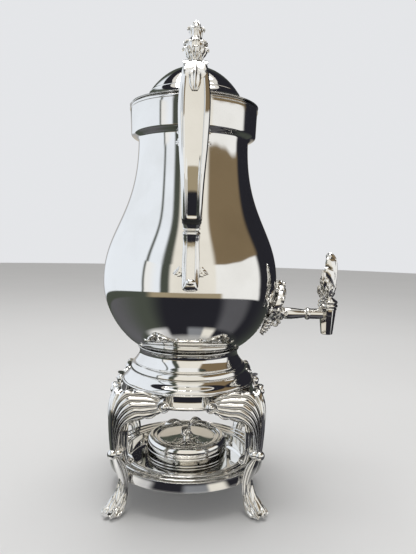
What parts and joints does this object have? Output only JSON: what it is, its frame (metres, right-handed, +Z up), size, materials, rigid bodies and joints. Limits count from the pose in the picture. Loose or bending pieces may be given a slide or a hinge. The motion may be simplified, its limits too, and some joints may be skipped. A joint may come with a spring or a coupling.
{
  "type": "coffee urn",
  "caption": "Pear-shaped urn with domed lid, scroll handles and a key tap, standing on a legged stand with a spirit burner.",
  "frame": {"origin": "on the vessel's upright axis, at the table the feet stand on", "axes": "+Z up; +X towards the tap; the two handles lie along -Y (front) and +Y (rear)"},
  "size_m": [0.2246, 0.2204, 0.4402],
  "materials": {
    "silver_plate": "mirror-polished silver plate",
    "black_insulator": "satin black composition",
    "gasket": "matt black rubber",
    "steel_pin": "plain turned steel",
    "wick": "packed cotton",
    "gauze": "woven brass wire"
  },
  "bodies": {
    "stand": {"stand_collar": "silver_plate", "stand_apron": "silver_plate", "leg_front_left": "silver_plate", "leg_front_right": "silver_plate", "leg_rear_left": "silver_plate", "leg_rear_right": "silver_plate", "leg_screws": "silver_plate", "burner_ring": "silver_plate", "ring_screws": "silver_plate", "burner_pan": "silver_plate"},
    "vessel": {"vessel_bowl": "silver_plate", "vessel_shell": "silver_plate", "mouth_band": "silver_plate", "vessel_base_disc": "silver_plate", "vessel_base_ring": "silver_plate", "rim_wire": "silver_plate", "front_handle_socket": "silver_plate", "front_upper_insulator": "black_insulator", "front_handle_grip": "silver_plate", "front_thumb_leaf": "silver_plate", "front_lower_insulator": "black_insulator", "front_handle_limb": "silver_plate", "front_handle_pins": "steel_pin", "rear_handle_socket": "silver_plate", "rear_upper_insulator": "black_insulator", "rear_handle_grip": "silver_plate", "rear_thumb_leaf": "silver_plate", "rear_lower_insulator": "black_insulator", "rear_handle_limb": "silver_plate", "rear_handle_pins": "steel_pin", "spigot_escutcheon": "silver_plate", "spigot_outer_gasket": "gasket", "spigot_shank": "silver_plate", "spigot_inner_gasket": "gasket", "spigot_locknut": "silver_plate", "tap_barrel": "silver_plate", "tap_retaining_screw": "silver_plate", "tap_stop_pin": "steel_pin"},
    "key": {"tap_plug": "silver_plate", "tap_key_washer": "steel_pin", "tap_key_handle": "silver_plate", "tap_key_pin": "steel_pin"},
    "lid": {"lid_dome": "silver_plate", "lid_bezel": "silver_plate", "lid_finial": "silver_plate", "finial_washer": "silver_plate", "finial_nut": "silver_plate"},
    "burner": {"burner_bowl": "silver_plate", "fuel_cup": "silver_plate", "wick_pad": "wick", "wick_gauze": "gauze"},
    "burner_cover": {"burner_cover": "silver_plate", "star_handle": "silver_plate", "star_rivet": "silver_plate"}
  },
  "joints": [
    {"name": "vessel_lift", "type": "slide", "parent": "stand", "child": "vessel", "axis": [0, 0, 1], "range_m": [0, 0.06]},
    {"name": "lid_lift", "type": "slide", "parent": "vessel", "child": "lid", "axis": [0, 0, 1], "range_m": [0, 0.05]},
    {"name": "key_turn", "type": "hinge", "parent": "vessel", "child": "key", "pos_m": [0.13364, 0, 0.17], "axis": [0, 0, 1], "range_deg": [0, 90]},
    {"name": "burner_lift", "type": "slide", "parent": "stand", "child": "burner", "axis": [0, 0, 1], "range_m": [0, 0.02]},
    {"name": "cover_lift", "type": "slide", "parent": "burner", "child": "burner_cover", "axis": [0, 0, 1], "range_m": [0, 0.02]}
  ]
}
